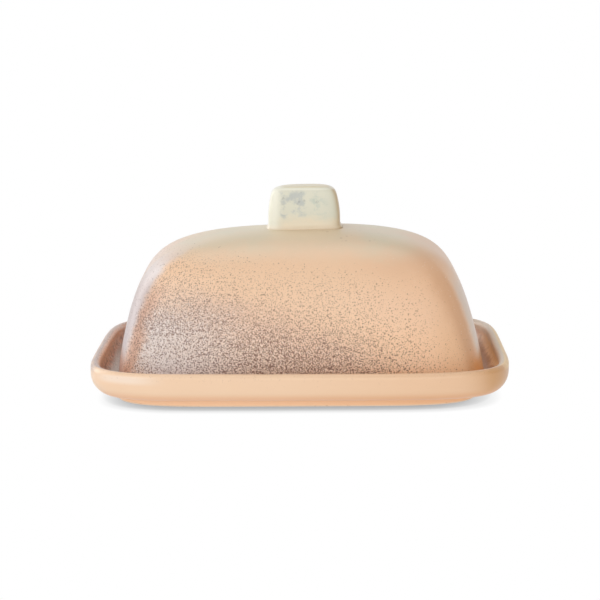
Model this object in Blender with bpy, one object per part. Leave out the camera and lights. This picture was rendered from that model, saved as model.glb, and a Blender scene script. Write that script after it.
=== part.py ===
"""Covered butter dish: a low tray, a domed lid that stands inside the tray's rim, and the knob on the lid.

Metres, +Z up. The origin is on the table, under the middle of the tray. X runs along the dish, Y across it.
Every horizontal section is a superellipse: a rectangle with softly bowed sides and round corners.
"""

import math

import bmesh
import bpy

# Tray
TRAY_LENGTH = 0.205
TRAY_WIDTH = 0.130
TRAY_HEIGHT = 0.0185
TRAY_SQUARENESS = 5.4
RIM_THICKNESS = 0.0048
FLOOR_HEIGHT = 0.008
COVE_RADIUS = 0.006
HEEL_RADIUS = 0.0092
FOOT_HEIGHT = 0.004
FOOT_INSET = 0.013
FOOT_RING_WIDTH = 0.0055
FOOT_EDGE = 0.0006
RECESS_DEPTH = 0.003
RECESS_SLOPE = 0.0015

# Lid: its wall leans in by LID_LEAN over the full height, and by LID_CURL more as it curls over
LID_LENGTH = 0.1804
LID_WIDTH = 0.106
LID_TOP = 0.078
LID_SQUARENESS = 5.2
LID_LEAN = 0.0073
LID_CURL = 0.0145
LID_WALL = 0.0046
LID_EDGE = 0.0009
LID_SHOULDER = (2.2, 10.0)

# Knob, set a little to the right of the middle, as it was luted on by hand
KNOB_LENGTH = 0.0356
KNOB_WIDTH = 0.0172
KNOB_TOP = 0.0984
KNOB_OFFSET = 0.0025
KNOB_SQUARENESS = 4.6
KNOB_LEAN = 0.0018
KNOB_CURL = 0.0008
KNOB_SHOULDER = (3.0, 16.0)

# Gap between pieces that touch
GAP = 0.0003

# Fineness of the meshes
DISH_POINTS = 64
KNOB_POINTS = 40
ARC_STEPS = 5
LID_RINGS = (5, 12)
KNOB_RINGS = (3, 7)
OUTLINE_SAMPLES = 1440
FIRST_SHOULDER_RING = math.radians(12)
SHARP_ANGLE = math.radians(40)

# Colours are linear
PEACH = (0.86, 0.60, 0.40, 1.0)
BLUSH = (0.75, 0.52, 0.35, 1.0)
CREAM = (0.76, 0.72, 0.56, 1.0)
GLAZE_ROUGHNESS = 0.38

LID_BASE = FLOOR_HEIGHT + GAP
KNOB_BASE = LID_TOP + GAP


def power(value, exponent):
    """Raises a signed number's size to a power and keeps its sign."""
    return math.copysign(abs(value) ** exponent, value)


def superellipse(half_length, half_width, squareness, angle):
    """The point of |x/a|^n + |y/b|^n = 1 at a parameter angle."""
    x = half_length * power(math.cos(angle), 2 / squareness)
    y = half_width * power(math.sin(angle), 2 / squareness)
    return x, y


def even_angles(half_length, half_width, squareness, count):
    """Parameter angles that share out the outline's length and its turning evenly, so corners get more."""
    angles = [2 * math.pi * i / OUTLINE_SAMPLES for i in range(OUTLINE_SAMPLES + 1)]
    points = [superellipse(half_length, half_width, squareness, angle) for angle in angles]
    steps = [math.dist(a, b) for a, b in zip(points, points[1:])]
    headings = [math.atan2(b[1] - a[1], b[0] - a[0]) for a, b in zip(points, points[1:])]
    perimeter = sum(steps)
    progress = [0.0]
    for i, step in enumerate(steps):
        turn = abs(math.remainder(headings[i] - headings[i - 1], 2 * math.pi))
        progress.append(progress[-1] + step / perimeter + turn / (2 * math.pi))
    chosen = []
    sample = 0
    for i in range(count):
        wanted = progress[-1] * i / count
        while progress[sample + 1] < wanted:
            sample += 1
        part = (wanted - progress[sample]) / (progress[sample + 1] - progress[sample])
        chosen.append(angles[sample] + part * (angles[sample + 1] - angles[sample]))
    return chosen


def plain_ring(half_length, half_width, squareness, angles, height):
    """A superellipse at one height."""
    return [(*superellipse(half_length, half_width, squareness, angle), height) for angle in angles]


def inset_ring(half_length, half_width, squareness, angles, inset, height):
    """A superellipse moved inwards by the same distance all round, at one height."""
    ring = []
    for angle in angles:
        x, y = superellipse(half_length, half_width, squareness, angle)
        normal_x = power(x / half_length, squareness - 1) / half_length
        normal_y = power(y / half_width, squareness - 1) / half_width
        size = math.hypot(normal_x, normal_y)
        ring.append((x - inset * normal_x / size, y - inset * normal_y / size, height))
    return ring


def arc(centre, radius, start, end, steps):
    """Points (inset, height) of an arc, from one angle in degrees to another, both ends included."""
    points = []
    for i in range(steps + 1):
        angle = math.radians(start + (end - start) * i / steps)
        points.append((centre[0] + radius * math.cos(angle), centre[1] + radius * math.sin(angle)))
    return points


def dome_rings(length, width, squareness, height, lean, curl, shoulder, counts, angles):
    """Rings of a dome from its base, at height 0, to a small one on its nearly flat crown.

    At a share t of the height the section is the base less lean * t + curl * t^2, all round, and then
    times (1 - t^q)^(1/p), which turns the wall over into the crown. shoulder is (p, q), and counts is
    how many rings the wall and the shoulder get.
    """
    breadth, sharpness = shoulder
    wall_count, shoulder_count = counts
    first = math.sin(FIRST_SHOULDER_RING) ** (2 / sharpness)
    shares = [first * i / wall_count for i in range(wall_count)]
    for i in range(shoulder_count):
        angle = FIRST_SHOULDER_RING + (math.pi / 2 - FIRST_SHOULDER_RING) * i / shoulder_count
        shares.append(math.sin(angle) ** (2 / sharpness))
    rings = []
    for share in shares:
        inset = lean * share + curl * share ** 2
        scale = (1 - share ** sharpness) ** (1 / breadth)
        half_length = scale * (length / 2 - inset)
        half_width = scale * (width / 2 - inset)
        rings.append(plain_ring(half_length, half_width, squareness, angles, height * share))
    return rings


def loft(name, rings):
    """A closed mesh through the rings in turn, with the first and the last ring filled."""
    count = len(rings[0])
    body = bmesh.new()
    loops = [[body.verts.new(point) for point in ring] for ring in rings]
    for lower, upper in zip(loops, loops[1:]):
        for i in range(count):
            j = (i + 1) % count
            body.faces.new((lower[i], lower[j], upper[j], upper[i]))
    body.faces.new(reversed(loops[0]))
    body.faces.new(loops[-1])
    mesh = bpy.data.meshes.new(name)
    body.to_mesh(mesh)
    body.free()
    mesh.shade_smooth()
    mesh.set_sharp_from_angle(angle=SHARP_ANGLE)
    return mesh


def add_object(name, rings, material, location=(0, 0, 0), parent=None):
    part = bpy.data.objects.new(name, loft(name, rings))
    bpy.context.scene.collection.objects.link(part)
    part.data.materials.append(material)
    part.location = location
    part.parent = parent
    return part


def glaze(name, colour):
    material = bpy.data.materials.new(name)
    material.use_nodes = True
    shader = material.node_tree.nodes["Principled BSDF"]
    shader.inputs["Base Color"].default_value = colour
    shader.inputs["Roughness"].default_value = GLAZE_ROUGHNESS
    shader.inputs["Metallic"].default_value = 0.0
    material.diffuse_color = colour
    return material


def foot_profile():
    """The foot as (inset, height), from the recess below, round the foot ring, to the underside."""
    inner = FOOT_INSET + FOOT_RING_WIDTH
    return [
        (inner + RECESS_SLOPE, RECESS_DEPTH),
        (inner, FOOT_EDGE),
        (inner - FOOT_EDGE, 0),
        (FOOT_INSET + FOOT_EDGE, 0),
        (FOOT_INSET, FOOT_EDGE),
        (FOOT_INSET, FOOT_HEIGHT),
    ]


def wall_profile():
    """The tray's wall as (inset, height), from the underside, round the heel and the rim, to the floor."""
    rim_radius = RIM_THICKNESS / 2
    heel = arc((HEEL_RADIUS, FOOT_HEIGHT + HEEL_RADIUS), HEEL_RADIUS, 270, 180, ARC_STEPS)
    rim = arc((rim_radius, TRAY_HEIGHT - rim_radius), rim_radius, 180, 0, ARC_STEPS + 1)
    cove_centre = (RIM_THICKNESS + COVE_RADIUS, FLOOR_HEIGHT + COVE_RADIUS)
    cove = arc(cove_centre, COVE_RADIUS, 180, 270, ARC_STEPS)
    return heel + rim + cove


def make_tray(material):
    """One pressed piece: foot ring, heel, wall, round rim, cove and flat floor."""
    half_length, half_width = TRAY_LENGTH / 2, TRAY_WIDTH / 2
    angles = even_angles(half_length, half_width, TRAY_SQUARENESS, DISH_POINTS)
    rings = [
        plain_ring(half_length - inset, half_width - inset, TRAY_SQUARENESS, angles, height)
        for inset, height in foot_profile()
    ]
    rings += [
        inset_ring(half_length, half_width, TRAY_SQUARENESS, angles, inset, height)
        for inset, height in wall_profile()
    ]
    return add_object("tray", rings, material)


def make_lid(material):
    """A hollow dome, open below: its inside, its foot edge and its outside in one closed skin."""
    height = LID_TOP - LID_BASE
    half_length, half_width = LID_LENGTH / 2, LID_WIDTH / 2
    angles = even_angles(half_length, half_width, LID_SQUARENESS, DISH_POINTS)
    outside = dome_rings(
        LID_LENGTH, LID_WIDTH, LID_SQUARENESS, height, LID_LEAN, LID_CURL, LID_SHOULDER, LID_RINGS, angles
    )
    inside = dome_rings(
        LID_LENGTH - 2 * LID_WALL, LID_WIDTH - 2 * LID_WALL, LID_SQUARENESS, height - LID_WALL,
        LID_LEAN, LID_CURL, LID_SHOULDER, LID_RINGS, angles,
    )
    for rings in (outside, inside):
        rings[0] = [(x, y, LID_EDGE) for x, y, _ in rings[0]]
    foot_edge = [
        inset_ring(half_length, half_width, LID_SQUARENESS, angles, inset, 0)
        for inset in (LID_WALL - LID_EDGE, LID_EDGE)
    ]
    return add_object("lid", inside[::-1] + foot_edge + outside, material, location=(0, 0, LID_BASE))


def make_knob(material, lid):
    """A solid block with a flat base on the lid's crown, tapered sides and softly rounded top edges."""
    angles = even_angles(KNOB_LENGTH / 2, KNOB_WIDTH / 2, KNOB_SQUARENESS, KNOB_POINTS)
    rings = dome_rings(
        KNOB_LENGTH, KNOB_WIDTH, KNOB_SQUARENESS, KNOB_TOP - KNOB_BASE,
        KNOB_LEAN, KNOB_CURL, KNOB_SHOULDER, KNOB_RINGS, angles,
    )
    return add_object("knob", rings, material, location=(KNOB_OFFSET, 0, KNOB_BASE - LID_BASE), parent=lid)


def main():
    for leftover in list(bpy.data.objects):
        bpy.data.objects.remove(leftover)
    make_tray(glaze("tray_glaze", PEACH))
    lid = make_lid(glaze("lid_glaze", BLUSH))
    make_knob(glaze("knob_glaze", CREAM), lid)


main()
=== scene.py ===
import math

import bpy
import numpy as np
from mathutils import Matrix, Vector, noise


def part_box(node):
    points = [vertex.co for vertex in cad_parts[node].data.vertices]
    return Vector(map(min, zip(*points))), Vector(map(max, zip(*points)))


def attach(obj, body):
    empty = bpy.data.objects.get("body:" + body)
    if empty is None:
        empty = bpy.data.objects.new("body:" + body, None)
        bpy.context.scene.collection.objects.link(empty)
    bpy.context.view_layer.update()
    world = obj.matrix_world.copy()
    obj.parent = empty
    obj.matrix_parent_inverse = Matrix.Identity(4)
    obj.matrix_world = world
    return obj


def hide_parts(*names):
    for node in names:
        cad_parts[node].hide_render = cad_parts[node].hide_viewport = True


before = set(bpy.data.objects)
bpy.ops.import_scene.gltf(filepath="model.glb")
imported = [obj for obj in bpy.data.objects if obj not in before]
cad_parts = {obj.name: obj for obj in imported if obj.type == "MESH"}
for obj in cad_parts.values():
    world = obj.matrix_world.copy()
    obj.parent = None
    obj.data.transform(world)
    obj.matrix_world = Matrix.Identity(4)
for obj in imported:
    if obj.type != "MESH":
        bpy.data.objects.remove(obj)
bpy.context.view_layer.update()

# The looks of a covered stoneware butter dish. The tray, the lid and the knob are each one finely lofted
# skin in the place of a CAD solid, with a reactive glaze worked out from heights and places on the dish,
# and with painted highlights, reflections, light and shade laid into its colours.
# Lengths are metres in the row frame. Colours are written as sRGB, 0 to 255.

MM = 0.001

# Plan shapes, as superellipse exponents: higher is squarer
TRAY_SQUARENESS = 5.4
LID_SQUARENESS = 5.2
CROWN_SQUARENESS = 3.0
KNOB_SQUARENESS = 4.6

# Tray
RIM_THICKNESS = 4.8 * MM
FLOOR_HEIGHT = 8 * MM
COVE_RADIUS = 6 * MM
HEEL_RADIUS = 9.2 * MM
FOOT_HEIGHT = 4 * MM
FOOT_INSET = 11.6 * MM
FOOT_END_INSET = 13.1 * MM
FOOT_SHIFT = -1.5 * MM
FOOT_RING_WIDTH = 5.5 * MM
FOOT_EDGE_RADIUS = 0.8 * MM
RECESS_HEIGHT = 3 * MM

# Lid: its wall leans in by LID_LEAN over the full height, and by LID_CURL more as it curls over. It stands
# turned and slanted a little in the tray, and its foot spreads a little to the right
LID_TOP = 78.3 * MM
LID_WALL = 4.6 * MM
LID_EDGE_RADIUS = 1.2 * MM
LID_LEAN = 7.3 * MM
LID_CURL = 14.6 * MM
LID_SHOULDER = (2.07, 10.1)
LID_TURN = math.radians(0.8)
LID_SLANT = math.tan(math.radians(0.72))
LID_SLANT_RISE = 1.6
LID_SPREAD = 0.9 * MM
LID_SPREAD_HEIGHT = 14 * MM

# Knob: its ends bulge, and at the top its long edges are crisper than its short ones. Its fillet ends in a
# skirt that sinks into the lid's crown
KNOB_TOP_SQUARENESS = 3.4
KNOB_LEAN = 1.6 * MM
KNOB_CURL = 1.0 * MM
KNOB_SHOULDER = (3.4, 18.0)
KNOB_FILLET = 2.2 * MM
KNOB_SINK = 0.5 * MM
KNOB_SKIRT = 0.4 * MM
KNOB_BULGE = 0.8 * MM
KNOB_RISE = 0.35 * MM
KNOB_CRISPNESS = 0.3

# The fired pieces are a little shorter than the nominal sizes
TRAY_SHRINK = 0.5 * MM
LID_SHRINK = 0.4 * MM

# Hand-made unevenness: how far the skins stray, and over what distance
STRAY = 0.16 * MM
STRAY_SIZE = 34 * MM
STRAY_SEED = 7
LEVEL_BELOW = 3 * MM

# Fineness
DISH_POINTS = 240
KNOB_POINTS = 120
OUTLINE_SAMPLES = 2880
FIRST_DOME_SHARE = 0.03
SHOULDER_START = math.radians(14)
SHOULDER_END = math.radians(89.7)

# View
CAMERA_PLACE = (12.7 * MM, -782.3 * MM, 207.5 * MM)
CAMERA_TARGET = (0, 0, 40.5 * MM)
CAMERA_ROLL = math.radians(-0.51)
CAMERA_LENS = 95.55
SENSOR_WIDTH = 36

# Floor. Its contact shadow comes from how open each place is within SHADOW_REACH, looking up and
# SHADOW_LEAN times as much towards the back. That is multiplied by a gain, which grows over SHADOW_ENDS to
# the left and right, and raised to the power SHADOW_DEPTH
FLOOR_REACH = 6.0
SHADOW_REACH = 7.5 * MM
SHADOW_SAMPLES = 24
SHADOW_GAIN = 1.13
SHADOW_END_GAIN = 1.38
SHADOW_ENDS = (66 * MM, 90 * MM)
SHADOW_DEPTH = 0.44
SHADOW_LEAN = 0.9

# Light: how bright the floor and the backdrop are to the dish, where both are 1 to the camera, and then
# the softboxes, each with its place, its size, and how bright its face is
FLOOR_GLOW = 0.85
AMBIENT = 0.36
SOFTBOXES = {
    "key": ((-0.9, -1.0, 0.9), (1.4, 1.4), 1.5),
    "front": ((0.3, -1.5, 0.5), (1.2, 0.8), 1.7),
    "side_left": ((-1.15, 0.6, 0.6), (0.7, 1.3), 2.3),
    "side_right": ((1.15, 0.7, 0.6), (0.5, 1.3), 0.6),
    "top": ((0, 0.2, 1.5), (0.9, 0.9), 1.0),
    "backdrop": ((0, 2.0, 0.6), (4.4, 1.6), 0.5),
}


def srgb(red, green, blue):
    """A linear RGBA colour from sRGB values of 0 to 255."""
    linear = []
    for value in (red, green, blue):
        share = value / 255
        linear.append(share / 12.92 if share <= 0.04045 else ((share + 0.055) / 1.055) ** 2.4)
    return (*linear, 1.0)


# ---------------------------------------------------------------- shapes


def power(values, exponent):
    """Raises the size of signed numbers to a power and keeps their signs."""
    return np.sign(values) * np.abs(values) ** exponent


def outline(half_length, half_width, squareness, angles):
    """Points of the superellipse |x/a|^n + |y/b|^n = 1 at parameter angles."""
    x = half_length * power(np.cos(angles), 2 / squareness)
    y = half_width * power(np.sin(angles), 2 / squareness)
    return np.column_stack([x, y])


def even_angles(half_length, half_width, squareness, count):
    """Parameter angles that share out the outline's length and its turning evenly."""
    angles = np.linspace(0, 2 * math.pi, OUTLINE_SAMPLES + 1)
    steps = np.diff(outline(half_length, half_width, squareness, angles), axis=0)
    lengths = np.hypot(*steps.T)
    headings = np.arctan2(steps[:, 1], steps[:, 0])
    bends = np.abs(np.angle(np.exp(1j * (headings - np.roll(headings, 1)))))
    progress = np.concatenate([[0], np.cumsum(lengths / lengths.sum() + bends / (2 * math.pi))])
    return np.interp(np.arange(count) / count * progress[-1], progress, angles)


def facings(half_length, half_width, squareness, angles):
    """Unit vectors square to the outline, pointing out."""
    sizes = np.array([half_length, half_width])
    slopes = power(outline(half_length, half_width, squareness, angles) / sizes, squareness - 1) / sizes
    return slopes / np.hypot(*slopes.T)[:, None]


def moved_in(half_length, half_width, squareness, angles, inset):
    """The outline moved inwards by the same distance all round."""
    shape = (half_length, half_width, squareness, angles)
    return outline(*shape) - inset * facings(*shape)


def turns(half_length, half_width, squareness, angles):
    """How far the outline faces along X: 0 on the long sides and 1 on the ends."""
    along, across = np.abs(facings(half_length, half_width, squareness, angles)).T
    return np.arctan2(along, across) / (math.pi / 2)


def ring(points, height):
    """The outline's points, all at one height."""
    return np.column_stack([points, np.full(len(points), height)])


def arc(centre, radius, start, end, steps):
    """Pairs (inset, height) along an arc, from one angle in degrees to another, both ends included."""
    angles = np.radians(np.linspace(start, end, steps + 1))
    return [(centre[0] + radius * math.cos(a), centre[1] + radius * math.sin(a)) for a in angles]


def stray(points):
    """Shifts points a little by smooth noise, as clay walls wander, but the dish still stands level."""
    shifts = STRAY * np.array([noise.noise_vector(Vector(point) / STRAY_SIZE) for point in points])
    shifts[:, 2] *= np.clip(points[:, 2] / LEVEL_BELOW, 0, 1)
    return points + shifts


def skin(name, rings, zones, turned, material):
    """A closed smooth mesh through the rings, with a fan at each end.

    zones gives each ring's glaze_zone, and turned gives glaze_turn for the points of every ring.
    """
    count = len(rings[0])
    points = np.vstack([rings[0].mean(axis=0), *rings, rings[-1].mean(axis=0)])
    marks = {
        "glaze_zone": np.concatenate([[zones[0]], np.repeat(zones, count), [zones[-1]]]),
        "glaze_turn": np.concatenate([[0], np.tile(turned, len(rings)), [0]]),
    }
    first = 1 + np.arange(count)
    following = 1 + (np.arange(count) + 1) % count
    faces = [(0, b, a) for a, b in zip(first, following)]
    for i in range(len(rings) - 1):
        near, far = i * count, (i + 1) * count
        faces += [(a + near, b + near, b + far, a + far) for a, b in zip(first, following)]
    last = (len(rings) - 1) * count
    faces += [(a + last, b + last, len(points) - 1) for a, b in zip(first, following)]
    mesh = bpy.data.meshes.new(name)
    mesh.from_pydata(points.tolist(), [], [tuple(int(i) for i in face) for face in faces])
    for mark, values in marks.items():
        mesh.attributes.new(mark, "FLOAT", "POINT").data.foreach_set("value", values.astype(np.float32))
    mesh.materials.append(material)
    mesh.shade_smooth()
    piece = bpy.data.objects.new(name, mesh)
    bpy.context.scene.collection.objects.link(piece)
    return piece


def discs(points, height, count):
    """Level rings that grow from near the middle to just inside the given points."""
    return [ring(points * share, height) for share in np.linspace(0.04, 0.97, count)]


def make_tray(material):
    """The tray from the recess below, round the foot ring, heel, rim and cove, to the middle of the floor.

    Its zones are 0 on bare clay, 1 on the outer glaze and 2 on the inner glaze.
    """
    low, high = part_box("tray")
    half_length, half_width = (high.x - low.x) / 2 - TRAY_SHRINK, (high.y - low.y) / 2
    angles = even_angles(half_length, half_width, TRAY_SQUARENESS, DISH_POINTS)
    outline_shape = (half_length, half_width, TRAY_SQUARENESS, angles)
    inner_foot = FOOT_INSET + FOOT_RING_WIDTH
    edge, rim = FOOT_EDGE_RADIUS, RIM_THICKNESS / 2

    def foot_ring(inset, height):
        end_inset = inset + FOOT_END_INSET - FOOT_INSET
        points = outline(half_length - end_inset, half_width - inset, TRAY_SQUARENESS, angles)
        return ring(points + (FOOT_SHIFT, 0), height)

    def wall_ring(inset, height):
        return ring(moved_in(*outline_shape, inset), height)

    recess = arc((inner_foot + 2 * edge, RECESS_HEIGHT - edge), edge, 90, 180, 4)
    foot = arc((inner_foot - edge, edge), edge, 0, -90, 5)
    foot += arc((FOOT_INSET + edge, edge), edge, -90, -180, 5)
    corner = arc((FOOT_INSET - edge, FOOT_HEIGHT - edge), edge, 0, 90, 4)
    heel = arc((HEEL_RADIUS, FOOT_HEIGHT + HEEL_RADIUS), HEEL_RADIUS, 270, 180, 14)
    bullnose = arc((rim, high.z - rim), rim, 180, 0, 16)
    cove = arc((RIM_THICKNESS + COVE_RADIUS, FLOOR_HEIGHT + COVE_RADIUS), COVE_RADIUS, 180, 270, 12)

    recess_edge = foot_ring(*recess[0])[:, :2]
    floor_edge = wall_ring(*cove[-1])[:, :2]
    below = discs(recess_edge, RECESS_HEIGHT, 8)
    below += [foot_ring(*pair) for pair in recess + foot]
    outside = [foot_ring(*pair) for pair in corner] + [wall_ring(*pair) for pair in heel]
    top = [wall_ring(*pair) for pair in bullnose]
    inside = [wall_ring(*pair) for pair in cove] + discs(floor_edge, FLOOR_HEIGHT, 12)[::-1]
    zones = [0] * len(below) + [1] * len(outside)
    zones += list(1 + np.clip(np.linspace(-0.9, 1.5, len(top)), 0, 1)) + [2] * len(inside)
    rings = [stray(points) for points in below + outside + top + inside]
    return skin("tray_glazed", rings, zones, turns(*outline_shape), material)


def dome(half_length, half_width, height, squareness, lean, curl, shoulder, shares, angles):
    """Rings of a tapered dome at the given shares of its height.

    At a share t of the height the wall is lean * t + curl * t^2 further in than at its foot. It is then
    scaled by (1 - t^q)^(1/p), which turns it over into the crown. shoulder is (p, q), and squareness is
    the section's at the foot and in the middle of the crown.
    """
    breadth, sharpness = shoulder
    at_foot, at_crown = squareness
    rings = []
    for share in shares:
        inset = lean * share + curl * share ** 2
        scale = (1 - share ** sharpness) ** (1 / breadth)
        section = at_crown + (at_foot - at_crown) * scale ** 2
        points = scale * outline(half_length - inset, half_width - inset, section, angles)
        rings.append(ring(points, height * share))
    return rings


def dome_shares(sharpness, wall_count, shoulder_count):
    """Shares of a dome's height, even up the wall and then closer and closer round the shoulder."""
    wall_end = math.sin(SHOULDER_START) ** (2 / sharpness)
    wall = np.linspace(FIRST_DOME_SHARE, wall_end, wall_count, endpoint=False)
    bend = np.linspace(SHOULDER_START, SHOULDER_END, shoulder_count)
    return np.concatenate([wall, np.sin(bend) ** (2 / sharpness)])


def swung(x, y):
    """A place on the lid, turned as the lid is in the tray."""
    cos, sin = math.cos(LID_TURN), math.sin(LID_TURN)
    return x * cos - y * sin, x * sin + y * cos


def settle_lid(points, base):
    """Spreads the lid's foot, slants the lid, more towards the top, and puts it down at base."""
    x, y, z = points.T
    up = z / (LID_TOP - base)
    x = x + LID_SPREAD * np.clip(x / x.max(), 0, 1) * np.exp(-z / LID_SPREAD_HEIGHT)
    z = z + x * LID_SLANT * np.clip(up * LID_SLANT_RISE, 0, 1)
    x = x - z * LID_SLANT
    return np.column_stack([*swung(x, y), z + base])


def make_lid(material):
    """The lid from the middle of its inside, round its foot edge, to the middle of its crown.

    Its zones are 0 on bare clay, 1 on the outer glaze and 2 on the inner glaze.
    """
    low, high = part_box("lid")
    half_length, half_width = (high.x - low.x) / 2 - LID_SHRINK, (high.y - low.y) / 2
    height = LID_TOP - low.z
    angles = even_angles(half_length, half_width, LID_SQUARENESS, DISH_POINTS)
    squareness = (LID_SQUARENESS, CROWN_SQUARENESS)
    shape = (squareness, LID_LEAN, LID_CURL, LID_SHOULDER)
    shares = dome_shares(LID_SHOULDER[1], 34, 44)
    outside = dome(half_length, half_width, height, *shape, shares, angles)
    sizes = (half_length - LID_WALL, half_width - LID_WALL, height - LID_WALL)
    inside = dome(*sizes, *shape, dome_shares(LID_SHOULDER[1], 18, 30), angles)
    edge = LID_EDGE_RADIUS
    foot = arc((LID_WALL - edge, edge), edge, 0, -90, 5) + arc((edge, edge), edge, -90, -180, 5)
    outline_shape = (half_length, half_width, LID_SQUARENESS, angles)
    foot = [ring(moved_in(*outline_shape, inset), height) for inset, height in foot]
    rings = inside[::-1] + foot + outside
    zones = [2] * len(inside) + [0] * len(foot) + [1] * len(outside)
    rings = [stray(settle_lid(points, low.z)) for points in rings]
    return skin("lid_glazed", rings, zones, turns(*outline_shape), material)


def fillet(points, above):
    """Spreads a ring of the knob outwards. above is its height, as a share of the fillet's radius."""
    spread = KNOB_FILLET * (1 - math.sqrt(1 - (1 - above) ** 2))
    outward = points[:, :2] / np.hypot(*points[:, :2].T)[:, None]
    return points + np.column_stack([outward * spread, np.zeros(len(points))])


def settle_knob(points, centre, base):
    """Slants and turns the knob as the lid is, and puts it down at base."""
    x, y, z = points.T
    z = z + x * LID_SLANT
    x, y = swung(x - z * LID_SLANT, y)
    return np.column_stack([x + centre.x, y + centre.y, z + base])


def follow_crown(points, share, lid, base, sky):
    """Moves points by a share of how far the lid's crown, seen from the height sky, is above base there."""
    for point in points:
        hit, place, _, _ = lid.ray_cast(Vector((point[0], point[1], sky)), Vector((0, 0, -1)))
        if hit:
            point[2] += (place.z - base) * share


def make_knob(material, lid):
    """The knob: a tapered block with softly rounded top edges, and a fillet that runs out onto the crown.

    Its zone falls from 1 at the crown to 0 where the fillet ends.
    """
    low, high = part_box("knob")
    half_length, half_width = (high.x - low.x) / 2, (high.y - low.y) / 2
    height = high.z - low.z + KNOB_RISE
    angles = even_angles(half_length, half_width, KNOB_SQUARENESS, KNOB_POINTS)
    breadth, sharpness = KNOB_SHOULDER
    shares = dome_shares(sharpness, 28, 26)
    shape = ((KNOB_SQUARENESS, KNOB_TOP_SQUARENESS), KNOB_LEAN, KNOB_CURL, KNOB_SHOULDER)
    rings, zones = [], []
    for share, points in zip(shares, dome(half_length, half_width, height, *shape, shares, angles)):
        points[:, 0] *= 1 + KNOB_BULGE / half_length * math.sin(math.pi * share)
        points[:, 1] *= (1 - share ** sharpness) ** ((KNOB_CRISPNESS - 1) / breadth)
        above = min(height * share / KNOB_FILLET, 1)
        rings.append(fillet(points, above))
        zones.append(1 - above)
    foot = rings[0].copy()
    foot[:, :2] *= 1 + KNOB_SKIRT / half_width
    foot[:, 2] = 0
    rings.insert(0, foot)
    zones.insert(0, 1)
    rings = [stray(settle_knob(points, (low + high) / 2, low.z)) for points in rings]
    for points, zone in zip(rings, zones):
        if zone > 0:
            follow_crown(points, zone, lid, low.z, high.z * 2)
    rings[0][:, 2] -= KNOB_SINK
    turned = turns(half_length, half_width, KNOB_SQUARENESS, angles)
    return skin("knob_glazed", rings, zones, turned, material)


# ---------------------------------------------------------------- glazes


def add(tree, kind, inputs=None, **settings):
    """A new node with the given settings, and with its inputs linked to other nodes or set to values."""
    node = tree.nodes.new(kind)
    for name, value in settings.items():
        setattr(node, name, value)
    for name, value in (inputs or {}).items():
        feed(tree, node.inputs[name], value)
    return node


def feed(tree, socket, value):
    """Links an input to another node's output, or sets it to a value."""
    if isinstance(value, bpy.types.NodeSocket):
        tree.links.new(value, socket)
    else:
        socket.default_value = value


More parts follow.
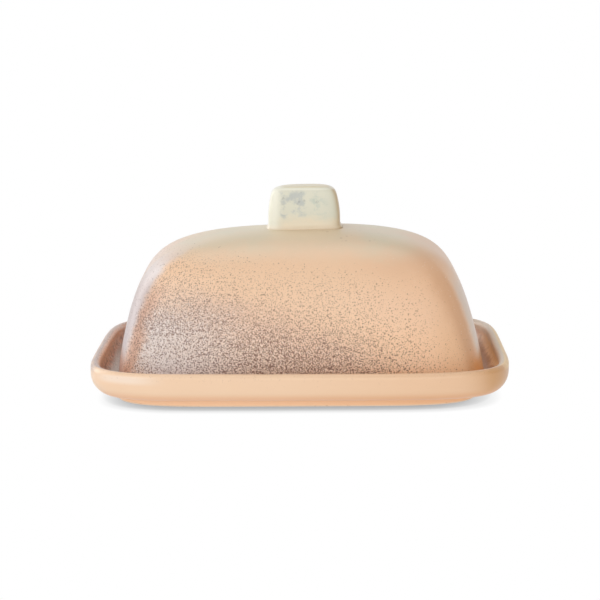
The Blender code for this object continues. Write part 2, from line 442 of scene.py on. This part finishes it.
class Glaze:
    """One material, with short calls for the nodes that the glazes share. Sizes are in metres."""

    def __init__(self, name):
        self.material = bpy.data.materials.new(name)
        self.material.use_nodes = True
        self.tree = self.material.node_tree
        self.place = add(self.tree, "ShaderNodeTexCoord").outputs["Object"]
        axes = add(self.tree, "ShaderNodeSeparateXYZ", {"Vector": self.place}).outputs
        self.x, self.y, self.z = axes["X"], axes["Y"], axes["Z"]
        self.zone = self.mark("glaze_zone")
        self.turn = self.mark("glaze_turn")

    def mark(self, name):
        """A value that the mesh carries at each point."""
        return add(self.tree, "ShaderNodeAttribute", attribute_name=name).outputs["Fac"]

    def math(self, operation, first, second=0.0, third=0.0):
        inputs = {0: first, 1: second, 2: third}
        return add(self.tree, "ShaderNodeMath", inputs, operation=operation).outputs[0]

    def scaled(self, value, factor, start=0.0):
        """value * factor + start."""
        return self.math("MULTIPLY_ADD", value, factor, start)

    def times(self, *values):
        """The product of any number of values."""
        product = values[0]
        for value in values[1:]:
            product = self.math("MULTIPLY", product, value)
        return product

    def rise(self, value, low, high):
        """0 below low, 1 above high and smooth between. With low above high it falls instead."""
        inputs = {"Value": value, "From Min": min(low, high), "From Max": max(low, high)}
        if low > high:
            inputs.update({"To Min": 1.0, "To Max": 0.0})
        node = add(self.tree, "ShaderNodeMapRange", inputs, interpolation_type="SMOOTHSTEP")
        return node.outputs["Result"]

    def shifted(self, seed):
        """The place on the piece, moved by a whole distance so that two noises don't match."""
        offset = (seed, seed * 0.7, -seed * 1.3)
        inputs = {0: self.place, 1: offset}
        return add(self.tree, "ShaderNodeVectorMath", inputs, operation="ADD").outputs[0]

    def noise(self, size, seed, detail=2.0, roughness=0.5):
        """Smooth noise, mostly between 0.3 and 0.7, whose waves are about size long."""
        inputs = {"Vector": self.shifted(seed), "Scale": 1 / size, "Detail": detail, "Roughness": roughness}
        return add(self.tree, "ShaderNodeTexNoise", inputs).outputs["Fac"]

    def specks(self, spacing, radius, share, seed):
        """Ragged specks, uneven in size and strength, in a share of the cells, which are spacing wide."""
        inputs = {"Vector": self.shifted(seed), "Scale": 1 / spacing}
        cells = add(self.tree, "ShaderNodeTexVoronoi", inputs).outputs
        draws = add(self.tree, "ShaderNodeSeparateColor", {"Color": cells["Color"]}).outputs
        unit = radius / spacing
        size = self.scaled(draws["Green"], 0.9 * unit, 0.5 * unit)
        ragged = self.scaled(self.noise(0.9 * radius, seed, detail=0.0), unit, size)
        gap = self.math("SUBTRACT", cells["Distance"], self.math("SUBTRACT", ragged, 0.5 * unit))
        spot = self.rise(gap, 0.25 * unit, -0.25 * unit)
        chosen = self.math("LESS_THAN", draws["Red"], share)
        return self.times(spot, chosen, self.scaled(draws["Blue"], 0.5, 0.5))

    def stipple(self, grain, amount):
        """Where a fine noise is high enough. The grains grow and get more with amount, from 0 to 1."""
        cover = self.scaled(amount, 0.36, -0.78)
        return self.rise(self.math("ADD", grain, cover), -0.03, 0.06)

    def flip(self, value):
        """1 - value."""
        return self.math("SUBTRACT", 1.0, value)

    def mix(self, share, first, second):
        """first where share is 0 and second where it is 1, for colours and for single values."""
        inputs = {"Factor": share, 6: first, 7: second}
        return add(self.tree, "ShaderNodeMix", inputs, data_type="RGBA").outputs[2]

    def finish(self, colour, roughness, height, depth):
        """Wires up the shader. height is a 0 to 1 relief, depth metres deep."""
        relief = add(self.tree, "ShaderNodeBump", {"Height": height, "Distance": depth, "Strength": 1.0})
        looks = {
            "Base Color": colour,
            "Roughness": roughness,
            "Normal": relief.outputs["Normal"],
            "Coat Weight": COAT,
            "Coat Roughness": COAT_ROUGHNESS,
        }
        shader = self.tree.nodes["Principled BSDF"]
        for name, value in looks.items():
            feed(self.tree, shader.inputs[name], value)
        return self.material


COAT = 0.4
COAT_ROUGHNESS = 0.3
CLAY = srgb(236, 202, 168)
CLAY_GRIT = srgb(190, 148, 112)
PEACH = srgb(247, 212, 178)
TRAY_SHADE_TAN = srgb(236, 191, 150)
WARM_PEACH = srgb(232, 182, 142)
CROWN_CREAM = srgb(220, 209, 182)
CROWN_TAN = srgb(226, 200, 167)
SIDE_PEACH = srgb(239, 187, 146)
SHOULDER_TAN = srgb(230, 186, 150)
LID_PEACH = srgb(243, 204, 168)
LID_LOW_LIFT = srgb(255, 212, 166)
EDGE_TAN = srgb(220, 170, 130)
CORNER_BREAK_AND_SHADE_TAN = srgb(214, 160, 104)
EDGE_BROWN = srgb(216, 166, 138)
HAZE = srgb(206, 192, 188)
REFLECTION_LILAC = srgb(220, 214, 216)
REFLECTION_DUSK = srgb(188, 176, 178)
REFLECTION_GREY = srgb(214, 206, 198)
EMBER = srgb(216, 180, 160)
LID_FOOT_SHADE = srgb(240, 172, 108)
IRON = srgb(100, 50, 28)
IRON_GREY = srgb(120, 86, 76)
IRON_BROWN = srgb(140, 96, 72)
FROST = srgb(232, 225, 222)
WARM_FROST = srgb(240, 218, 200)
IVORY = srgb(222, 219, 198)
KNOB_HIGHLIGHT = srgb(243, 240, 222)
KNOB_BLUE = srgb(188, 191, 184)
KNOB_SAGE = srgb(196, 202, 186)
KNOB_SLATE = srgb(120, 118, 110)
KNOB_TOP = srgb(228, 214, 180)
KNOB_CREAM = srgb(236, 222, 194)
KNOB_SHADE_TAN = srgb(206, 176, 128)
INNER_BROWN = srgb(214, 150, 114)
INNER_TAN = srgb(252, 214, 166)
INNER_OLIVE = srgb(184, 130, 84)
INNER_LIFT_SAND = srgb(255, 226, 176)
INNER_LIFT_APRICOT = srgb(248, 190, 146)
INNER_RUST = srgb(222, 146, 92)
INNER_FAR = srgb(228, 202, 188)
INNER_REFLECTION_MAUVE = srgb(200, 176, 166)
INNER_REFLECTION_PALE = srgb(224, 208, 190)
INNER_GREY = srgb(192, 168, 150)
HEEL_SHADE_ORANGE = srgb(240, 176, 122)
HEEL_SHADE_RUST = srgb(228, 160, 98)
FOOT_BOUNCE_ORANGE = srgb(252, 206, 164)
FOOT_BOUNCE_TAN = srgb(246, 194, 146)
TRAY_PAINTED_HIGHLIGHT = srgb(255, 240, 226)


def clay(glaze):
    """Bare fired clay: buff, with fine grit."""
    grit = glaze.specks(0.9 * MM, 0.28 * MM, 0.35, 3.1)
    return glaze.mix(glaze.times(grit, 0.7), CLAY, CLAY_GRIT)


def lid_wash(glaze, level, right):
    """The ground: a peach wall, a tan shoulder on the right, and a cream crown, warmer round the knob."""
    # painted light: the wall lighter towards the foot, lifting the shade that the tray's rim casts there
    colour = glaze.mix(glaze.rise(glaze.z, 48 * MM, 14 * MM), LID_PEACH, LID_LOW_LIFT)
    colour = glaze.mix(glaze.times(right, 0.45), colour, SIDE_PEACH)
    shoulder = glaze.times(glaze.rise(level, 54 * MM, 68 * MM), right)
    colour = glaze.mix(glaze.times(shoulder, 0.7), colour, SHOULDER_TAN)
    # the crown is warmer round the knob: partly tan glaze, partly the knob's shade and reflection painted
    # in
    from_knob = glaze.math("ABSOLUTE", glaze.math("SUBTRACT", glaze.x, 6 * MM))
    middle = glaze.rise(from_knob, 30 * MM, 6 * MM)
    crown_colour = glaze.mix(glaze.times(middle, 0.75), CROWN_CREAM, CROWN_TAN)
    far_right = glaze.rise(glaze.x, 40 * MM, 72 * MM)
    crown = glaze.times(glaze.rise(level, 64 * MM, 79 * MM), glaze.flip(glaze.times(far_right, 0.6)))
    return glaze.mix(crown, colour, crown_colour)


def lid_haze(glaze, colour, depth, right, far_left):
    """A low haze that thins out to the right, and a paler patch of painted light at its foot on the far
    left.
    """
    haze = glaze.times(glaze.rise(depth, -8 * MM, 16 * MM), glaze.scaled(right, -0.5, 0.62))
    colour = glaze.mix(haze, colour, glaze.mix(far_left, EMBER, HAZE))
    # painted light: paler low on the far left, lifting the shade that the tray's rim casts there
    painted_lift = glaze.rise(glaze.z, 28 * MM, 18 * MM)
    painted_lift = glaze.times(painted_lift, far_left, glaze.rise(glaze.turn, 0.3, 0.08))
    return glaze.mix(glaze.times(painted_lift, 0.6), colour, FROST)


def lid_ends(glaze, colour, ragged, left, right):
    """A pale painted reflection climbs both ends, and brown bands run up the corners beside it.

    Returns the colour, where the bands are, and how much grain the ends leave, from 0 to 1.
    """
    # past_brink is above 0 on the ends. They widen from the foot up, and more on the left
    rising = glaze.math("MINIMUM", glaze.z, 55 * MM)
    brink = glaze.scaled(rising, glaze.scaled(left, -2.1, -4.8), 0.78)
    frayed = glaze.times(glaze.math("SUBTRACT", ragged, 0.5), glaze.scaled(left, 0.2, 0.1))
    past_brink = glaze.math("ADD", glaze.math("SUBTRACT", glaze.turn, brink), frayed)

    # painted reflection: pale lilac on the left, duskier low down, and grey on the right, up the ends
    ceiling = glaze.scaled(left, 12 * MM, 64 * MM)
    climb = glaze.rise(glaze.math("SUBTRACT", glaze.z, ceiling), 0.0, -15 * MM)
    climb = glaze.times(climb, glaze.rise(past_brink, -0.08, 0.16))
    dusk = glaze.rise(glaze.z, 65 * MM, 50 * MM)
    reflection_colour = glaze.mix(left, REFLECTION_GREY, glaze.mix(dusk, REFLECTION_LILAC, REFLECTION_DUSK))
    end_face = glaze.rise(glaze.turn, 0.9, 0.99)
    painted_reflection = glaze.times(climb, glaze.scaled(left, 0.2, 0.6), glaze.flip(glaze.times(end_face, 0.4)))
    colour = glaze.mix(painted_reflection, colour, reflection_colour)

    widening = glaze.times(glaze.rise(glaze.z, 42 * MM, 22 * MM), left, -0.1)
    inner_side = glaze.math("ADD", glaze.scaled(left, 0.12, -0.4), widening)
    bands = glaze.rise(glaze.math("SUBTRACT", past_brink, inner_side), 0.0, 0.22)
    bands = glaze.times(bands, glaze.rise(past_brink, 0.1, -0.08))
    band_top = glaze.scaled(left, -10 * MM, 73 * MM)
    bands = glaze.times(bands, glaze.rise(glaze.math("SUBTRACT", glaze.z, band_top), 0.0, -17 * MM))
    strength = glaze.scaled(left, -0.1, 0.75)
    colour = glaze.mix(glaze.times(bands, strength), colour, glaze.mix(left, EDGE_TAN, EDGE_BROWN))

    # painted shade: warm and darker where the lid's ends come down into the tray
    low_end_shade = glaze.times(glaze.rise(glaze.z, 27 * MM, 15 * MM), glaze.rise(glaze.turn, 0.3, 0.65))
    low_end_shade = glaze.times(low_end_shade, glaze.math("MAXIMUM", right, glaze.times(left, 0.7)))
    colour = glaze.mix(glaze.times(low_end_shade, 0.9), colour, glaze.mix(left, LID_FOOT_SHADE, EDGE_BROWN))
    grainy = glaze.flip(glaze.times(climb, glaze.scaled(end_face, -0.5, 0.85)))
    return colour, bands, grainy


def lid_grains(glaze, colour, level, depth, left, far_left, bands, grainy):
    """Pale and dark grains side by side, and fainter flecks on the crown, right of the knob.

    The dark ones thicken towards the foot and thin out on the right. Returns the colour, and where the
    dark ones are.
    """
    grain = glaze.noise(0.47 * MM, 12.1, detail=0.0)
    pale_share = glaze.times(glaze.rise(depth, -4 * MM, 26 * MM), glaze.scaled(left, 0.5, 0.45))
    pale_share = glaze.times(pale_share, grainy, glaze.flip(bands))
    frost = glaze.mix(far_left, WARM_FROST, FROST)
    colour = glaze.mix(glaze.times(glaze.stipple(grain, pale_share), 0.72), colour, frost)

    sunk = glaze.scaled(glaze.x, 0.1, level)
    share = glaze.flip(glaze.times(glaze.rise(glaze.x, 5 * MM, 95 * MM), 0.85))
    share = glaze.times(share, glaze.flip(glaze.times(glaze.rise(glaze.x, 60 * MM, 80 * MM), 0.7)))
    corner = glaze.times(far_left, glaze.rise(glaze.z, 42 * MM, 24 * MM))
    share = glaze.times(share, grainy, glaze.flip(glaze.times(corner, 0.4)))
    low = glaze.rise(sunk, 70 * MM, 14 * MM)
    low = glaze.math("ADD", low, glaze.times(far_left, glaze.flip(low), 0.3))
    sandy = glaze.rise(sunk, 71 * MM, 56 * MM)
    fine = glaze.stipple(glaze.flip(grain), glaze.times(glaze.scaled(low, 0.46, 0.24), share))
    dot_share = glaze.times(glaze.scaled(low, 0.85, 0.1), share, sandy)
    dots = glaze.specks(0.88 * MM, 0.3 * MM, dot_share, 30.3)
    coarse = glaze.specks(1.3 * MM, 0.24 * MM, glaze.times(share, sandy, 0.3), 8.7)
    dark = glaze.math("MAXIMUM", glaze.times(fine, sandy, 0.9), glaze.math("MAXIMUM", dots, coarse))
    fading = glaze.scaled(glaze.rise(glaze.z, 24 * MM, 38 * MM), 0.45, 0.35)
    fading = glaze.times(glaze.rise(glaze.x, 50 * MM, 72 * MM), fading)
    dark = glaze.times(dark, glaze.scaled(low, 0.5, 0.5), glaze.flip(fading))
    colour = glaze.mix(dark, colour, glaze.mix(far_left, IRON, IRON_GREY))

    by_knob = glaze.times(glaze.rise(glaze.x, 8 * MM, 16 * MM), glaze.rise(glaze.x, 48 * MM, 30 * MM))
    by_knob = glaze.times(by_knob, glaze.rise(glaze.z, 72.5 * MM, 74 * MM), 0.3)
    flecks = glaze.specks(2.3 * MM, 0.6 * MM, by_knob, 41.0)
    return glaze.mix(glaze.times(flecks, 0.22), colour, IRON_BROWN), dark


def lid_glaze():
    glaze = Glaze("lid_glaze")
    wander = glaze.noise(26 * MM, 0.4, detail=3.0)
    ragged = glaze.noise(7 * MM, 1.9, detail=4.0, roughness=0.6)
    uneven = glaze.math("ADD", glaze.z, glaze.scaled(wander, 12 * MM, -6 * MM))
    level = glaze.math("ADD", uneven, glaze.scaled(ragged, 4 * MM, -2 * MM))
    left = glaze.rise(glaze.x, 30 * MM, -50 * MM)
    right = glaze.rise(glaze.x, 10 * MM, 70 * MM)
    far_left = glaze.rise(glaze.x, -15 * MM, -72 * MM)

    # the haze reaches up to an edge that falls to the right, and depth is measured down from there
    slope = glaze.math("MAXIMUM", glaze.math("ADD", glaze.x, 30 * MM), 0.0)
    depth = glaze.math("SUBTRACT", glaze.scaled(slope, -0.32, 53 * MM), level)

    colour = lid_wash(glaze, level, right)
    colour = lid_haze(glaze, colour, depth, right, far_left)
    colour, bands, grainy = lid_ends(glaze, colour, ragged, left, right)
    colour, dark = lid_grains(glaze, colour, level, depth, left, far_left, bands, grainy)

    inner_specks = glaze.specks(1.6 * MM, 0.4 * MM, 0.3, 21.0)
    inner = glaze.mix(glaze.times(inner_specks, 0.5), LID_PEACH, IRON_BROWN)
    colour = glaze.mix(glaze.rise(glaze.zone, 1.2, 1.6), colour, inner)
    bare = glaze.rise(glaze.zone, 0.6, 0.3)
    colour = glaze.mix(bare, colour, clay(glaze))

    dulled = glaze.math("ADD", glaze.times(dark, 0.12), glaze.times(bare, 0.4))
    roughness = glaze.math("ADD", glaze.scaled(wander, 0.1, 0.33), dulled)
    ripple = glaze.noise(2.2 * MM, 2.7, detail=2.0)
    height = glaze.math("SUBTRACT", ripple, glaze.times(dark, 0.35))
    return glaze.finish(colour, roughness, height, 0.05 * MM)


def tray_outside(glaze, wander, grain, right):
    """Peach, tan to the right and over the right corners, and warmer round the heel and the foot."""
    # painted shade: tan towards the right end, the side away from the key light
    colour = glaze.mix(glaze.times(right, 0.7), PEACH, TRAY_SHADE_TAN)
    colour = glaze.mix(glaze.times(wander, 0.2), colour, WARM_PEACH)
    # tan over the right corners: glaze breaking there, made stronger on the right as painted shade
    over_corner = glaze.times(glaze.rise(glaze.turn, 0.1, 0.45), glaze.rise(glaze.turn, 1.0, 0.75))
    colour = glaze.mix(glaze.times(over_corner, right, 0.85), colour, CORNER_BREAK_AND_SHADE_TAN)
    # painted highlight: a pale band under the rim towards the left end
    painted_highlight = glaze.times(glaze.rise(glaze.z, 12.5 * MM, 15 * MM), glaze.rise(glaze.z, 17.8 * MM, 16.5 * MM))
    painted_highlight = glaze.times(painted_highlight, glaze.rise(glaze.x, -60 * MM, -80 * MM), glaze.rise(glaze.turn, 0.7, 0.3))
    colour = glaze.mix(glaze.times(painted_highlight, 0.5), colour, TRAY_PAINTED_HIGHLIGHT)
    # painted shade: darker orange low on the heel, where it curls under towards the floor
    heel = glaze.rise(glaze.z, 10 * MM, 4.4 * MM)
    colour = glaze.mix(heel, colour, glaze.mix(right, HEEL_SHADE_ORANGE, HEEL_SHADE_RUST))
    # painted light: the foot ring warmer, as if lit by light bounced between the floor and the dish
    foot = glaze.rise(glaze.z, 4 * MM, 3.4 * MM)
    colour = glaze.mix(foot, colour, glaze.mix(right, FOOT_BOUNCE_ORANGE, FOOT_BOUNCE_TAN))
    few = glaze.stipple(grain, glaze.times(glaze.rise(glaze.z, 11 * MM, 18 * MM), 0.3))
    return glaze.mix(glaze.times(few, 0.3), colour, IRON_BROWN)


def tray_inside(glaze, ragged, grain, right, end, front, gutter):
    """Brown down the wall with rusty patches, pale at the rim, and grey on the floor.

    The ends are the busiest: a warm band below the pale one, and dark and frosty blotches.
    """
    height = glaze.scaled(ragged, 5 * MM, glaze.math("SUBTRACT", glaze.z, 2.5 * MM))
    colour = glaze.mix(front, INNER_FAR, glaze.mix(right, INNER_BROWN, INNER_TAN))
    rusty = glaze.times(glaze.rise(ragged, 0.42, 0.62), glaze.scaled(right, -0.3, 0.5))
    colour = glaze.mix(rusty, colour, INNER_RUST)
    # painted light: a warm, lighter band below the rim on the ends, lifting the shade that the rim casts
    under_rim_lift = glaze.times(glaze.rise(height, 9.5 * MM, 13 * MM), end, front, 0.8)
    colour = glaze.mix(under_rim_lift, colour, glaze.mix(right, INNER_LIFT_APRICOT, INNER_LIFT_SAND))
    # painted reflection: pale mauve on the left and pale cream on the right along the rim's rounded top
    pale_side = glaze.mix(right, glaze.rise(glaze.zone, 2.0, 1.3), glaze.rise(glaze.zone, 1.0, 1.5))
    pale = glaze.times(glaze.rise(height, 13 * MM, 16 * MM), pale_side)
    colour = glaze.mix(pale, colour, glaze.mix(right, INNER_REFLECTION_MAUVE, INNER_REFLECTION_PALE))
    blotch = glaze.noise(2.6 * MM, 15.5, detail=3.0, roughness=0.7)
    blotched = glaze.times(end, glaze.scaled(right, -0.5, 0.7), glaze.rise(height, 17 * MM, 12 * MM))
    colour = glaze.mix(glaze.times(glaze.rise(blotch, 0.5, 0.42), blotched), colour, IRON_GREY)
    colour = glaze.mix(glaze.times(glaze.rise(blotch, 0.54, 0.62), blotched, 0.7), colour, FROST)
    floor = glaze.rise(height, 11 * MM, 8.5 * MM)
    colour = glaze.mix(floor, colour, glaze.mix(gutter, INNER_GREY, INNER_OLIVE))
    frosted = glaze.times(glaze.stipple(grain, 0.5), glaze.scaled(right, -0.35, 0.5))
    colour = glaze.mix(frosted, colour, FROST)
    freckles = glaze.stipple(glaze.flip(grain), glaze.scaled(right, -0.4, 0.6))
    return glaze.mix(glaze.times(freckles, glaze.scaled(front, 0.45, 0.15)), colour, IRON)


def tray_glaze():
    glaze = Glaze("tray_glaze")
    wander = glaze.noise(30 * MM, 3.3, detail=3.0)
    ragged = glaze.noise(6 * MM, 7.7, detail=4.0, roughness=0.65)
    grain = glaze.noise(0.6 * MM, 6.1, detail=1.0, roughness=0.6)
    right = glaze.rise(glaze.x, -50 * MM, 95 * MM)
    end = glaze.rise(glaze.turn, 0.4, 0.85)
    front = glaze.rise(glaze.y, 50 * MM, 20 * MM)
    gutter = glaze.times(glaze.rise(glaze.x, 78 * MM, 88 * MM), front)

    # the inner glaze starts on the rim, with a ragged edge that reaches further over the ends
    over_rim = glaze.times(end, glaze.rise(glaze.z, 13 * MM, 17 * MM), 0.6)
    inner_zone = glaze.math("ADD", glaze.scaled(ragged, 0.5, glaze.zone), over_rim)
    inside = glaze.rise(inner_zone, 1.55, 2.0)
    bare = glaze.times(glaze.rise(glaze.zone, 0.6, 0.3), glaze.rise(glaze.z, 1.0 * MM, 0.5 * MM))
    colour = tray_outside(glaze, wander, grain, right)
    colour = glaze.mix(inside, colour, tray_inside(glaze, ragged, grain, right, end, front, gutter))
    colour = glaze.mix(bare, colour, clay(glaze))

    dulled = glaze.math("MAXIMUM", glaze.times(bare, 0.4), glaze.times(gutter, inside, 0.3))
    roughness = glaze.math("ADD", glaze.scaled(wander, 0.1, 0.32), dulled)
    ripple = glaze.noise(2.4 * MM, 4.9, detail=2.0)
    return glaze.finish(colour, roughness, ripple, 0.04 * MM)


def knob_glaze():
    """Ivory, paler on the left and tan on the right, with blue-grey clouds in the middle of its sides."""
    glaze = Glaze("knob_glaze")
    cloud = glaze.noise(4.5 * MM, 2.2, detail=5.0, roughness=0.6)
    # painted highlight: paler down the left end, where the key light catches the rounded edge
    colour = glaze.mix(glaze.rise(glaze.x, -7 * MM, -12 * MM), IVORY, KNOB_HIGHLIGHT)

    middle = glaze.times(glaze.rise(glaze.x, -11 * MM, -8 * MM), glaze.rise(glaze.x, 17 * MM, 8 * MM))
    middle = glaze.times(middle, glaze.rise(glaze.z, 82 * MM, 85 * MM))
    middle = glaze.times(middle, glaze.rise(glaze.z, 98 * MM, 95 * MM))
    upper_left = glaze.times(glaze.rise(glaze.x, 6 * MM, -3 * MM), glaze.rise(glaze.z, 87 * MM, 91 * MM))
    blue = glaze.rise(glaze.scaled(upper_left, 0.05, cloud), 0.45, 0.68)
    blue = glaze.times(blue, middle)
    tint = glaze.mix(glaze.rise(glaze.x, 0.0, 7 * MM), KNOB_BLUE, KNOB_SAGE)
    colour = glaze.mix(glaze.times(blue, 0.9), colour, tint)
    spots = glaze.times(glaze.specks(2.2 * MM, 0.55 * MM, 0.6, 4.4), glaze.rise(blue, 0.15, 0.6))
    colour = glaze.mix(glaze.times(spots, 0.35), colour, KNOB_SLATE)

    # creamier towards the foot, with a wavering edge, and the crown's colour where the fillet runs out
    height = glaze.scaled(cloud, 8 * MM, glaze.math("SUBTRACT", glaze.z, 4 * MM))
    lower = glaze.times(glaze.rise(height, 86.5 * MM, 80 * MM), glaze.rise(glaze.x, -13 * MM, -6 * MM))
    colour = glaze.mix(lower, colour, KNOB_CREAM)
    colour = glaze.mix(glaze.times(glaze.zone, 0.6), colour, CROWN_TAN)
    # painted shade: tan on the right end, the side away from the key light
    end = glaze.times(glaze.rise(glaze.turn, 0.2, 0.7), glaze.rise(glaze.x, -5 * MM, 15 * MM))
    colour = glaze.mix(glaze.times(end, 0.8), colour, KNOB_SHADE_TAN)

    # a pale line along the top edge, a painted highlight, and a warm top
    brow = glaze.times(glaze.rise(glaze.z, 96.6 * MM, 97.4 * MM), glaze.rise(glaze.z, 98.4 * MM, 97.8 * MM))
    colour = glaze.mix(glaze.times(brow, 0.7), colour, KNOB_HIGHLIGHT)
    colour = glaze.mix(glaze.times(glaze.rise(glaze.z, 97.9 * MM, 98.4 * MM), 0.8), colour, KNOB_TOP)
    ripple = glaze.noise(2.6 * MM, 8.8, detail=2.0)
    return glaze.finish(colour, glaze.scaled(cloud, 0.1, 0.26), ripple, 0.05 * MM)


# ---------------------------------------------------------------- the set


def make_floor():
    """A wide pale floor that glows like a lit white table, and is darker where the dish shuts it in.

    Only the camera sees that shade. To the dish the floor glows at FLOOR_GLOW all over.
    """
    material = bpy.data.materials.new("floor_white")
    material.use_nodes = True
    tree = material.node_tree
    tree.nodes.clear()
    lean = add(tree, "ShaderNodeCombineXYZ", {"Y": SHADOW_LEAN, "Z": 1.0}).outputs[0]
    near = {"Distance": SHADOW_REACH, "Normal": lean}
    openness = add(tree, "ShaderNodeAmbientOcclusion", near, samples=SHADOW_SAMPLES).outputs["AO"]
    place = add(tree, "ShaderNodeNewGeometry").outputs["Position"]
    x = add(tree, "ShaderNodeSeparateXYZ", {0: place}).outputs["X"]
    aside = add(tree, "ShaderNodeMath", {0: x}, operation="ABSOLUTE").outputs[0]
    thinning = {"Value": aside, "From Min": SHADOW_ENDS[0], "From Max": SHADOW_ENDS[1]}
    thinning.update({"To Min": SHADOW_GAIN, "To Max": SHADOW_END_GAIN})
    gain = add(tree, "ShaderNodeMapRange", thinning).outputs["Result"]
    factors = {0: openness, 1: gain}
    openness = add(tree, "ShaderNodeMath", factors, operation="MULTIPLY", use_clamp=True).outputs[0]
    shade = add(tree, "ShaderNodeMath", {0: openness, 1: SHADOW_DEPTH}, operation="POWER").outputs[0]
    seen = add(tree, "ShaderNodeLightPath").outputs["Is Camera Ray"]
    levels = {"Value": seen, "To Min": FLOOR_GLOW, "To Max": shade}
    level = add(tree, "ShaderNodeMapRange", levels).outputs["Result"]
    glow = add(tree, "ShaderNodeEmission", {"Color": (1, 1, 1, 1), "Strength": level})
    add(tree, "ShaderNodeOutputMaterial", {"Surface": glow.outputs[0]})

    signs = ((-1, -1), (1, -1), (1, 1), (-1, 1))
    corners = [(side * FLOOR_REACH, depth * FLOOR_REACH, 0) for side, depth in signs]
    mesh = bpy.data.meshes.new("floor")
    mesh.from_pydata(corners, [], [(0, 1, 2, 3)])
    mesh.materials.append(material)
    floor = bpy.data.objects.new("floor", mesh)
    bpy.context.scene.collection.objects.link(floor)


def make_world():
    """A white backdrop in view, and a dimmer even light from all round on the dish."""
    world = bpy.data.worlds.new("studio")
    world.use_nodes = True
    tree = world.node_tree
    seen = add(tree, "ShaderNodeLightPath").outputs["Is Camera Ray"]
    level = add(tree, "ShaderNodeMapRange", {"Value": seen, "To Min": AMBIENT, "To Max": 1.0})
    background = tree.nodes["Background"]
    feed(tree, background.inputs["Color"], (1, 1, 1, 1))
    feed(tree, background.inputs["Strength"], level.outputs["Result"])
    bpy.context.scene.world = world


def make_softbox(name, place, size, radiance):
    """A rectangular lamp that faces the dish, and that the camera doesn't see."""
    lamp = bpy.data.lights.new(name, "AREA")
    lamp.shape = "RECTANGLE"
    lamp.size, lamp.size_y = size
    lamp.energy = radiance * math.pi * size[0] * size[1]
    light = bpy.data.objects.new(name, lamp)
    light.location = place
    light.rotation_euler = (Vector(CAMERA_TARGET) - Vector(place)).to_track_quat("-Z", "Y").to_euler()
    light.visible_camera = False
    bpy.context.scene.collection.objects.link(light)


def make_camera():
    lens = bpy.data.cameras.new("camera")
    lens.lens = CAMERA_LENS
    lens.sensor_width = SENSOR_WIDTH
    camera = bpy.data.objects.new("camera", lens)
    aim = (Vector(CAMERA_TARGET) - Vector(CAMERA_PLACE)).to_track_quat("-Z", "Y").to_matrix().to_4x4()
    camera.matrix_world = Matrix.Translation(CAMERA_PLACE) @ aim @ Matrix.Rotation(CAMERA_ROLL, 4, "Z")
    bpy.context.scene.collection.objects.link(camera)
    bpy.context.scene.camera = camera


def main():
    noise.seed_set(STRAY_SEED)
    make_camera()
    make_world()
    make_floor()
    for name, softbox in SOFTBOXES.items():
        make_softbox(name, *softbox)
    bpy.context.scene.view_settings.view_transform = "Standard"

    tray = make_tray(tray_glaze())
    lid = make_lid(lid_glaze())
    knob = make_knob(knob_glaze(), lid)
    for piece, body, node, slot in (
        (tray, "tray", "tray", "tray_glaze"),
        (lid, "lid", "lid", "lid_glaze"),
        (knob, "lid", "knob", "knob_glaze"),
    ):
        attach(piece, body)
        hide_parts(node)


main()
